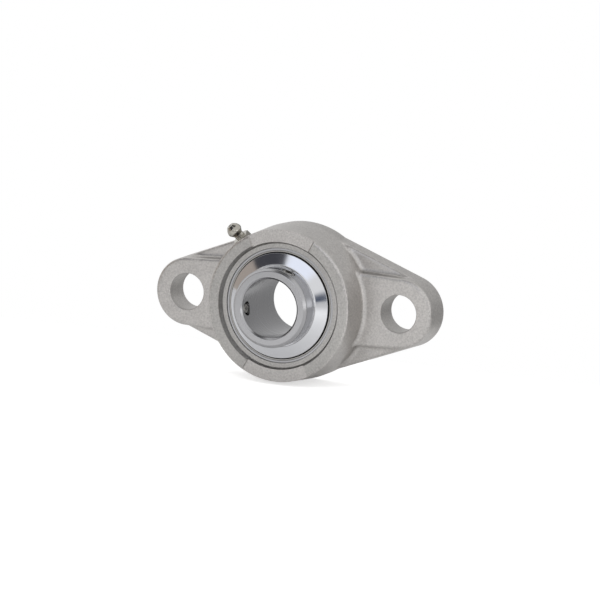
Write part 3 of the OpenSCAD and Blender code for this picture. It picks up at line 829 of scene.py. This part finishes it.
class BEARING_OT_housing(BearingOperator, bpy.types.Operator):
    """Builds the cast housing with its machined seat, face and holes"""

    bl_idname = "bearing.housing"
    bl_label = "Cast Housing"

    def execute(self, context):
        s, n = sizes("casting_sizes"), sizes("nipple_sizes")
        colours = context.scene.bearing_colours

        def distance(x, y, z):
            return casting_distance(x, y, z, s)

        # The raw casting reaches two grains behind the mounting face, where the face mill cuts it
        margin = 1.5
        low = (-FLANGE_REACH - margin, -RING_FOOT_R - margin, -3 * s.grain)
        high = (FLANGE_REACH + margin, RING_FOOT_R + margin, RING_HEIGHT + margin)
        points, faces = surface_of(lambda x, y, z: np.maximum(distance(x, y, z), -z - 2 * s.grain),
                                   low, high, s.grain)
        wall = points[:, 2] > -s.grain
        points[wall] = pull_to_surface(points[wall], distance)
        housing = make_object("cast_housing", points, faces.tolist())
        tools = [bolt_hole_tool(1, s), bolt_hole_tool(-1, s), seat_tool(s), *field_tools(s),
                 *back_tools(s), *nipple_seat_tools(n)]
        cut(housing, tools)
        merge_doubles(housing)
        smooth(housing, 30)
        blasted = blasted_casting("blasted_stainless_casting", colours.cast, (0.34, 0.44), 0.6)
        turned = blasted_casting("turned_stainless_casting", colours.turned, (0.28, 0.36), 0.35, turned=True)
        seat(housing, "housing", ["housing"], "cast_stainless", blasted, turned)
        self.mark_turned(housing.data, s)
        return {"FINISHED"}

    @staticmethod
    def mark_turned(mesh, s, near=0.03):
        """Gives the second material to the turned face, the seat and the back."""
        count = len(mesh.polygons)
        centres = np.zeros(count * 3)
        mesh.polygons.foreach_get("center", centres)
        x, y, z = (centres.reshape(-1, 3) / MM).T
        out = np.hypot(x, z)
        face = -y > RING_HEIGHT - near
        bored = out < front_land(s)[2] + s.mouth_bevel
        back = y > -near
        mesh.polygons.foreach_set("material_index", (face | bored | back).astype(np.int32))


class BEARING_OT_rings(BearingOperator, bpy.types.Operator):
    """Builds the inner and outer ring of the ball insert"""

    bl_idname = "bearing.rings"
    bl_label = "Bearing Rings"

    def execute(self, context):
        i = sizes("insert_sizes")
        colours = context.scene.bearing_colours
        self.inner(i, colours)
        self.outer(i, colours)
        return {"FINISHED"}

    @staticmethod
    def inner(i, colours):
        """The wide inner ring with its race, bevels and two screw holes."""
        race_x = PITCH_R - BALL_ROOM + RACE_R
        open_half = math.degrees(math.acos((race_x - INNER_R) / RACE_R))
        low, high = INNER_BACK, INNER_FRONT
        bevel, small = i.inner_bevel, i.inner_bevel / 2
        profile = rounded([
            (i.bore_r + i.bore_bevel, low, 0.2), (INNER_R - small, low, 0.2), (INNER_R, low + small, 0.2),
            *arc(race_x, RACE_HEIGHT, RACE_R, 180 + open_half, 180 - open_half, 20),
            (INNER_R, high - bevel, 0.45), (INNER_R - bevel, high, 0.45),
            (i.bore_r + i.bore_bevel, high, 0.3), (i.bore_r, high - i.bore_bevel, 0.3),
            (i.bore_r, low + i.bore_bevel, 0.2)])
        ring = turned_piece("inner_ring_ground", profile, 256)
        r, mouth = i.screw_r + THREAD_GAP, i.screw_r + THREAD_GAP + 0.35
        hole = [(0, 0), (r, 0), (r, INNER_R - 0.3), (mouth, INNER_R + 0.15), (mouth, INNER_R + 1),
                (0, INNER_R + 1)]
        tools = [turned_solid("screw_hole_tool", hole, 64, lambda points: at_screw(points, around, i))
                 for around in screw_angles(i)]
        cut(ring, tools)
        smooth(ring)
        seat(ring, "inner_ring", ["inner_ring"], "ground_steel",
             ground_steel("ground_bearing_steel", colours.ground, 0.24, 0.5, 0.12))

    @staticmethod
    def outer(i, colours):
        """The outer ring: a slice of a sphere with its race, seal steps and two feed holes."""
        race_x = PITCH_R + BALL_ROOM - RACE_R
        open_half = math.degrees(math.acos((i.shoulder_r - race_x) / RACE_R))
        reach = math.degrees(math.asin(FACE_REACH / SPHERE_R))
        step = FACE_REACH - i.seal_step
        face_r = SPHERE_R * math.cos(math.radians(reach))
        outside = arc(0, 0, SPHERE_R, -reach, reach, 24)[1:-1]
        profile = rounded([
            (face_r, -FACE_REACH, 0.25), *outside, (face_r, FACE_REACH, 0.25),
            (i.rim_r, FACE_REACH, 0.12), (i.rim_r, step), (i.shoulder_r, step, 0.1),
            *arc(race_x, 0, RACE_R, open_half, -open_half, 20),
            (i.shoulder_r, -step, 0.1), (i.rim_r, -step), (i.rim_r, -FACE_REACH, 0.12)])
        ring = turned_piece("outer_ring_ground", profile, 256, lambda points: at_race(points, 1))
        feed = rod(0.8, i.shoulder_r - 1, SPHERE_R + 2)
        pin = rod(PIN_HOLE_R, SPHERE_R - 1.55, SPHERE_R + 2)
        holes = ((-60, feed, -FEED_OFFSET), (120, feed, -FEED_OFFSET), (90, pin, 0))
        tools = [turned_solid("ring_hole_tool", profile, 40,
                              lambda points: along_axis(points, around, 0, 0, RACE_HEIGHT + height))
                 for around, profile, height in holes]
        cut(ring, tools)
        smooth(ring)
        seat(ring, "outer_ring", ["outer_ring"], "ground_steel",
             ground_steel("ground_outer_ring_steel", colours.ground, 0.3))


class BEARING_OT_seals(BearingOperator, bpy.types.Operator):
    """Builds the two seals and the two flingers"""

    bl_idname = "bearing.seals"
    bl_label = "Seals and Flingers"

    def execute(self, context):
        i = sizes("insert_sizes")
        colours = context.scene.bearing_colours
        # Rolled sheet that is pressed into a round shape has the same fine rings, only fainter
        sheet = ground_steel("rolled_seal_case_steel", colours.sheet, 0.28, 0.4, 0.15)
        rubber = nitrile_rubber(colours.rubber)
        polished = polished_steel("polished_pressed_steel", colours.polished)
        # The seal stays clear of the flinger's sleeve, and its lip of the inner ring
        inside = INNER_R + i.flinger_t + 0.3
        lip_r = INNER_R + 0.1
        case_r = i.rim_r - 0.01
        web = FACE_REACH - i.seal_step + i.sheet_t
        top = web + i.rubber_t
        rim = case_r - i.case_rim
        case = rounded([
            (inside, web - i.sheet_t), (case_r, web - i.sheet_t), (case_r, FACE_REACH, 0.2),
            (rim, FACE_REACH, 0.2), (rim, web), (inside, web)])
        disc = rounded([
            (lip_r, top - 0.4, 0.1), (inside - 0.2, web - i.sheet_t), (inside, web - i.sheet_t),
            (inside, web), (rim, web), (rim, top, 0.1), (inside + 0.4, top, 0.2), (lip_r, top, 0.15)])
        parts = (("seal_case", case, "outer_ring", "sheet_steel", sheet),
                 ("seal_lip", disc, "outer_ring", "seal_rubber", rubber),
                 ("flinger", self.flinger(i), "inner_ring", "polished_steel", polished))
        for side, word in ((1, "front"), (-1, "back")):
            for name, profile, body, slot, material in parts:
                piece = turned_piece(f"{name}_{word}_dressed", profile, 224,
                                     lambda points: at_race(points, side))
                smooth(piece)
                seat(piece, body, [f"{name}_{word}"], slot, material)
        return {"FINISHED"}

    @staticmethod
    def flinger(i):
        """Profile of the pressed flinger: sleeve, bend, cone and rolled rim."""
        sleeve = INNER_R + 0.01
        rim_z = FACE_REACH + 0.2
        hip_z = rim_z + i.flinger_t + i.flinger_rise
        hip_r = INNER_R + i.flinger_hip
        end_z = hip_z + i.sleeve_l
        edge = i.flinger_t / 2
        top_r = sleeve + edge
        bend = i.sleeve_l * 0.75
        return rounded([
            (sleeve, rim_z, 0.1), (sleeve + i.flinger_t, rim_z, 0.1),
            (sleeve + i.flinger_t, hip_z - i.flinger_t - 0.2, 0.15),
            (hip_r, hip_z - i.flinger_t - 0.1, 0.2),
            (FLINGER_R - i.flinger_t, rim_z + 0.25, 0.1), (FLINGER_R - i.flinger_t, rim_z, 0.1),
            *arc(FLINGER_R - edge, rim_z + edge, edge, -60, 50, 8),
            *arc(top_r + bend, hip_z + bend, bend, 270, 180, 12),
            (top_r, end_z, 0.15), (sleeve, end_z)])


class BEARING_OT_nipple(BearingOperator, bpy.types.Operator):
    """Builds the grease nipple: thread, hexagon, neck and ball head"""

    bl_idname = "bearing.nipple"
    bl_label = "Grease Nipple"

    def execute(self, context):
        n = sizes("nipple_sizes")
        colours = context.scene.bearing_colours
        neck_r = n.head_r * 0.66
        neck_z = n.hexagon_h + 1.5
        head = n.whole - neck_z
        # The check ball, of 1 mm radius, closes the tip's hole from inside
        check_z = n.whole - 0.5 - math.sqrt(1 - n.tip_r ** 2)
        mouth = math.degrees(math.acos(n.tip_r / n.bore_r))
        # The head's outline goes by shares of its own height and radius
        body = rounded([
            (n.bore_r, -n.thread_l), (n.thread_r - 0.6, -n.thread_l, 0.1),
            (n.thread_r, 0.6 - n.thread_l, 0.1), (n.thread_r, 0.1), (neck_r, 0.1),
            (neck_r, neck_z, 0.5), (n.head_r, neck_z + head * 0.33, 0.5),
            (n.head_r, neck_z + head * 0.5, 0.6), (n.head_r * 0.86, neck_z + head * 0.74, 0.8),
            (n.head_r * 0.5, n.whole, 0.35), (n.tip_r, n.whole, 0.1),
            *reversed(arc(0, check_z, n.bore_r, 0, mouth, 6))])

        def place(points):
            return at_nipple(points, n)

        nipple = turned_solid("grease_nipple_turned", body, 96, place)
        merge_doubles(nipple)
        cut(nipple, [self.hexagon_tool(n, place)], "UNION")
        bore = rod(n.bore_r, -n.thread_l - 1, check_z)
        cut(nipple, [turned_solid("nipple_bore_tool", bore, 96, place)])
        smooth(nipple, 30)
        seat(nipple, "housing", ["grease_nipple_body"], "nipple_steel",
             turned_steel("bright_turned_steel", colours.nipple, 0.11, n.around, n.tilt))
        return {"FINISHED"}

    @staticmethod
    def hexagon_tool(n, place):
        """The hexagon, with its corners turned off at both ends."""
        corner_r, high = n.hexagon / 2 / HEXAGON_SHARE, n.hexagon_h
        drum = [(0, 0), (corner_r - 0.3, 0), (corner_r + 0.1, 0.4), (corner_r + 0.1, high - 0.45),
                (corner_r - 0.55, high), (0, high)]
        tool = turned_solid("hexagon_tool", rod(corner_r, 0, high), 6, place)
        limit = turned_solid("hexagon_limit", drum, 96, place)
        merge_doubles(tool)
        merge_doubles(limit)
        cut(tool, [limit], "INTERSECT")
        return tool


class BEARING_OT_screws(BearingOperator, bpy.types.Operator):
    """Builds the two set screws with their threads, sockets and cup points"""

    bl_idname = "bearing.screws"
    bl_label = "Set Screws"

    def execute(self, context):
        i = sizes("insert_sizes")
        colours = context.scene.bearing_colours
        ridge = thread_tree()
        tip, end, r = i.bore_r + 0.3, INNER_R - 0.1, i.screw_r
        depth = 0.4
        root = r - depth
        core = rounded([(0, tip + 0.5), (r * 0.45, tip, 0.1), (r * 0.6, tip, 0.1), (root, tip + 0.9, 0.1),
                        (root, end - 0.35, 0.1), (root - 0.35, end, 0.1), (0, end)])
        key_r = i.screw_key / 2 / HEXAGON_SHARE
        key = [(0, end - 2), (key_r, end - 1.8), (key_r, end + 1), (0, end + 1)]
        # The ridge stands a little into the core, and leaves both ends of the screw free
        turns = (end - tip - 1.6) / i.thread_pitch
        sizes_given = {"Radius": (root - 0.02) * MM, "Depth": depth * MM,
                       "Length": turns * i.thread_pitch * MM, "Turns": turns}
        for k, around in enumerate(screw_angles(i), 1):
            steel = turned_steel(f"turned_screw_steel_{k}", colours.screw, 0.3, around)

            def place(points, around=around):
                return at_screw(points, around, i)

            screw = turned_piece(f"set_screw_{k}_threaded", core, 96, place)
            thread = grown("screw_thread", ridge, {**sizes_given, "Material": steel})
            drawn = np.array([v.co for v in thread.data.vertices]) / MM + (0, 0, tip + 1.05)
            faces = [tuple(p.vertices) for p in thread.data.polygons]
            bpy.data.objects.remove(thread)
            cut(screw, [make_object("screw_thread", place(drawn), faces)], "UNION")
            socket = turned_solid("socket_tool", key, 6, place)
            merge_doubles(socket)
            cut(screw, [socket])
            smooth(screw, 30)
            seat(screw, f"set_screw_{k}", [f"set_screw_{k}"], "screw_steel", steel)
        return {"FINISHED"}


class BEARING_OT_cage(BearingOperator, bpy.types.Operator):
    """Dresses the balls, the cage, its rivets and the other pieces that the frame already shapes"""

    bl_idname = "bearing.cage"
    bl_label = "Balls and Cage"

    def execute(self, context):
        colours = context.scene.bearing_colours
        sheet = ground_steel("pressed_cage_steel", colours.sheet, 0.32, 0.5, 0.15)
        ball = polished_steel("lapped_ball_steel", colours.polished)
        # Drawn wire has fine marks as turned steel has, and is as bright
        wire = turned_steel("drawn_spring_wire", colours.screw, 0.3)
        rivets = grown("cage_rivets_headed", rivet_tree(), {"Material": sheet})
        count = sum(name.startswith("ball_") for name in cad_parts)
        # The first ball stands at the top, and the rivets between the balls
        drawn = np.array([v.co for v in rivets.data.vertices]) / MM
        drawn = turned_about_bore(drawn, 90 + 180 / count)
        rivets.data.vertices.foreach_set("co", stand(at_race(drawn, 1)).ravel())
        smooth(rivets, 40)
        seat(rivets, "cage", ["cage_rivets"], "sheet_steel", sheet)
        finishes = {"cage_front": sheet, "cage_back": sheet, "grease_check_ball": ball,
                    "grease_spring": wire, "lock_pin": wire}
        for name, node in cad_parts.items():
            finish = ball if name.startswith("ball_") else finishes.get(name)
            if finish:
                node.data.materials.clear()
                node.data.materials.append(finish)
        return {"FINISHED"}


class BEARING_OT_studio(BearingOperator, bpy.types.Operator):
    """Sets up the pale studio: floor, light and camera"""

    bl_idname = "bearing.studio"
    bl_label = "Studio"

    # Viewing angle, distance and lens of the photograph, found from the bolt holes and rings
    azimuth, elevation, roll = 23.51, 8.2, 2.57
    distance, focal_px, picture_px = 1.0544, 2469.1, 600
    aim_px = (287.7, 303.3)
    sensor_mm = 36
    # Half width of the floor, and how far behind the mounting face it ends
    floor_half, floor_back = 1.5, 0.06
    # Glow of the floor to the camera, and in metal or glass, where a stronger one would flood the
    # dark edges that the metal shows in the photograph
    floor_glow = 0.6
    mirrored_glow = 0.1
    # The lamp over the floor: its place, width and power
    lamp_place, lamp_width, lamp_watts = (0.0, -0.21, 0.12), 0.08, 0.18

    def execute(self, context):
        scene = context.scene
        self.floor(scene)
        self.world(scene)
        self.lamp(scene)
        self.camera(scene)
        scene.view_settings.view_transform = "Standard"
        return {"FINISHED"}

    def floor(self, scene):
        """A pale floor under the ring, which keeps its shadow. It glows where the camera looks at
        it, so that it is white there, and a little where metal mirrors it."""
        mesh = bpy.data.meshes.new("floor")
        half, back, height = self.floor_half, self.floor_back, CAD_BOX[0][2]
        mesh.from_pydata([(-half, -half, height), (half, -half, height), (half, back, height),
                          (-half, back, height)], [], [(0, 1, 2, 3)])
        floor = bpy.data.objects.new("floor", mesh)
        scene.collection.objects.link(floor)
        made, tree = new_material("studio_floor")
        matt = add(tree, "ShaderNodeBsdfDiffuse", {"Color": rgba(scene.bearing_colours.floor)})
        strength = add(tree, "ShaderNodeMath", {
            0: self.seen(tree, ("Is Camera Ray",)), 1: self.floor_glow}, operation="MULTIPLY")
        strength = add(tree, "ShaderNodeMath", {
            0: self.seen(tree, ("Is Glossy Ray", "Is Transmission Ray")), 1: self.mirrored_glow,
            2: strength.outputs[0]}, operation="MULTIPLY_ADD")
        glow = add(tree, "ShaderNodeEmission", {"Color": (1, 1, 1, 1), "Strength": strength.outputs[0]})
        both = add(tree, "ShaderNodeAddShader", {0: matt.outputs[0], 1: glow.outputs[0]})
        add(tree, "ShaderNodeOutputMaterial", {"Surface": both.outputs[0]})
        floor.data.materials.append(made)

    @staticmethod
    def seen(tree, rays):
        """One for the named kinds of ray and nought for all others, which carry the light."""
        path = add(tree, "ShaderNodeLightPath").outputs
        met = path[rays[0]]
        for ray in rays[1:]:
            met = add(tree, "ShaderNodeMath", {0: met, 1: path[ray]}, operation="MAXIMUM").outputs[0]
        return met

    # Zones of the studio round the bearing: direction (right, front, up), inner and outer angle
    # in degrees, and the light there; between them the room has its own level
    room_level = (0.95, 0.95, 0.95)
    zones = (
        ((-0.10, -0.85, 0.50), 12, 34, (0.74, 0.74, 0.74)),
        ((0.15, -0.97, -0.10), 25, 45, (0.36, 0.36, 0.36)),
        ((0.00, 0.25, 0.97), 10, 24, (0.12, 0.12, 0.12)),
        ((-0.40, 0.91, -0.14), 10, 30, (0.78, 0.78, 0.79)),
        ((-0.86, 0.50, 0.08), 16, 30, (0.47, 0.41, 0.36)),
        ((0.94, -0.32, -0.10), 10, 28, (0.08, 0.08, 0.08)),
        ((0.86, 0.46, -0.14), 12, 26, (1.80, 1.80, 1.80)),
        ((-0.44, 0.60, 0.67), 10, 18, (0.05, 0.05, 0.06)),
        ((0.60, 0.79, -0.12), 8, 16, (0.25, 0.25, 0.25)),
        ((0.40, 0.90, 0.15), 7, 13, (1.40, 1.40, 1.42)),
        ((-0.10, 0.91, 0.41), 8, 15, (1.12, 1.17, 1.30)),
        ((0.28, 0.955, -0.03), 5, 10, (0.08, 0.10, 0.15)),
        ((-0.53, 0.74, 0.42), 12, 15, (0.07, 0.07, 0.08)),
    )

    def world(self, scene):
        """The studio that metal mirrors: near white, with darker and lighter zones. The camera, and
        what is seen through glass, meets plain white."""
        world = bpy.data.worlds.new("studio")
        world.use_nodes = True
        scene.world = world
        tree = world.node_tree
        tree.nodes.clear()
        towards = add(tree, "ShaderNodeTexCoord").outputs["Generated"]
        level = rgba(self.room_level)
        for direction, inner, outer, light in self.zones:
            aim = Vector((direction[0], -direction[1], direction[2])).normalized()
            near = add(tree, "ShaderNodeVectorMath", {0: towards, 1: aim}, operation="DOT_PRODUCT")
            share = add(tree, "ShaderNodeMapRange", {
                "Value": near.outputs["Value"], "From Min": math.cos(math.radians(outer)),
                "From Max": math.cos(math.radians(inner)), "To Min": 0.0, "To Max": 1.0},
                interpolation_type="SMOOTHSTEP")
            level = add(tree, "ShaderNodeMix", {
                "Factor": share.outputs["Result"], "A": level, "B": rgba(light)},
                data_type="RGBA").outputs["Result"]
        room = add(tree, "ShaderNodeBackground", {"Color": level, "Strength": 1.0})
        white = add(tree, "ShaderNodeBackground", {"Color": (1, 1, 1, 1), "Strength": 1.0})
        met = self.seen(tree, ("Is Camera Ray", "Is Transmission Ray"))
        mixed = add(tree, "ShaderNodeMixShader", {0: met, 1: room.outputs[0], 2: white.outputs[0]})
        add(tree, "ShaderNodeOutputWorld", {"Surface": mixed.outputs[0]})

    def lamp(self, scene):
        """A lamp straight over the floor in front, from which the front faces take their light.
        Neither the camera nor the metal sees the lamp itself."""
        light = bpy.data.lights.new("floor_lamp", "AREA")
        light.shape = "DISK"
        light.size = self.lamp_width
        light.energy = self.lamp_watts
        made = bpy.data.objects.new("floor_lamp", light)
        made.location = self.lamp_place
        made.visible_camera = False
        made.visible_glossy = False
        scene.collection.objects.link(made)

    def camera(self, scene):
        """The camera at the photograph's viewing angle."""
        a, e, r = (math.radians(v) for v in (self.azimuth, self.elevation, self.roll))
        back = Vector((math.sin(a) * math.cos(e), -math.cos(a) * math.cos(e), math.sin(e)))
        right = Vector((math.cos(a), math.sin(a), 0))
        up = back.cross(right)
        rolled_right = right * math.cos(r) + up * math.sin(r)
        rolled_up = -right * math.sin(r) + up * math.cos(r)
        lens = bpy.data.cameras.new("camera")
        lens.sensor_width = self.sensor_mm
        lens.lens = self.sensor_mm * self.focal_px / self.picture_px
        lens.shift_x = (self.picture_px / 2 - self.aim_px[0]) / self.picture_px
        lens.shift_y = (self.aim_px[1] - self.picture_px / 2) / self.picture_px
        lens.clip_start = 0.05
        target = Vector((0, -RACE_HEIGHT * MM, 0))
        made = bpy.data.objects.new("camera", lens)
        turn = Matrix((rolled_right, rolled_up, back)).transposed().to_4x4()
        made.matrix_world = Matrix.Translation(target + back * self.distance) @ turn
        scene.collection.objects.link(made)
        scene.camera = made


STEPS = (BEARING_OT_housing, BEARING_OT_rings, BEARING_OT_seals, BEARING_OT_nipple,
         BEARING_OT_screws, BEARING_OT_cage, BEARING_OT_studio)


class BEARING_PT_panel(bpy.types.Panel):
    """Lists the steps that build the bearing"""

    bl_idname = "BEARING_PT_panel"
    bl_label = "Flange Bearing"
    bl_space_type = "VIEW_3D"
    bl_region_type = "UI"
    bl_category = "Bearing"

    def draw(self, context):
        for step in STEPS:
            self.layout.operator(step.bl_idname)
        for group in GROUPS:
            box = self.layout.box()
            found = getattr(context.scene, group)
            for name in found.bl_rna.properties.keys():
                if name not in ("name", "rna_type"):
                    box.prop(found, name)


GROUPS = {"casting_sizes": CastingSizes, "insert_sizes": InsertSizes, "nipple_sizes": NippleSizes,
          "bearing_colours": BearingColours}


def register():
    """Makes the sizes, the operators and the panel known to Blender."""
    for group, kind in GROUPS.items():
        bpy.utils.register_class(kind)
        setattr(bpy.types.Scene, group, bpy.props.PointerProperty(type=kind))
    for kind in (*STEPS, BEARING_PT_panel):
        bpy.utils.register_class(kind)


def unregister():
    """Takes them all back, in the opposite order."""
    for kind in reversed((*STEPS, BEARING_PT_panel)):
        bpy.utils.unregister_class(kind)
    for group, kind in reversed(GROUPS.items()):
        delattr(bpy.types.Scene, group)
        bpy.utils.unregister_class(kind)


def main():
    """Makes the steps known to Blender and builds every piece in order."""
    register()
    for step in STEPS:
        group, name = step.bl_idname.split(".")
        getattr(getattr(bpy.ops, group), name)()


if __name__ == "__main__":
    main()
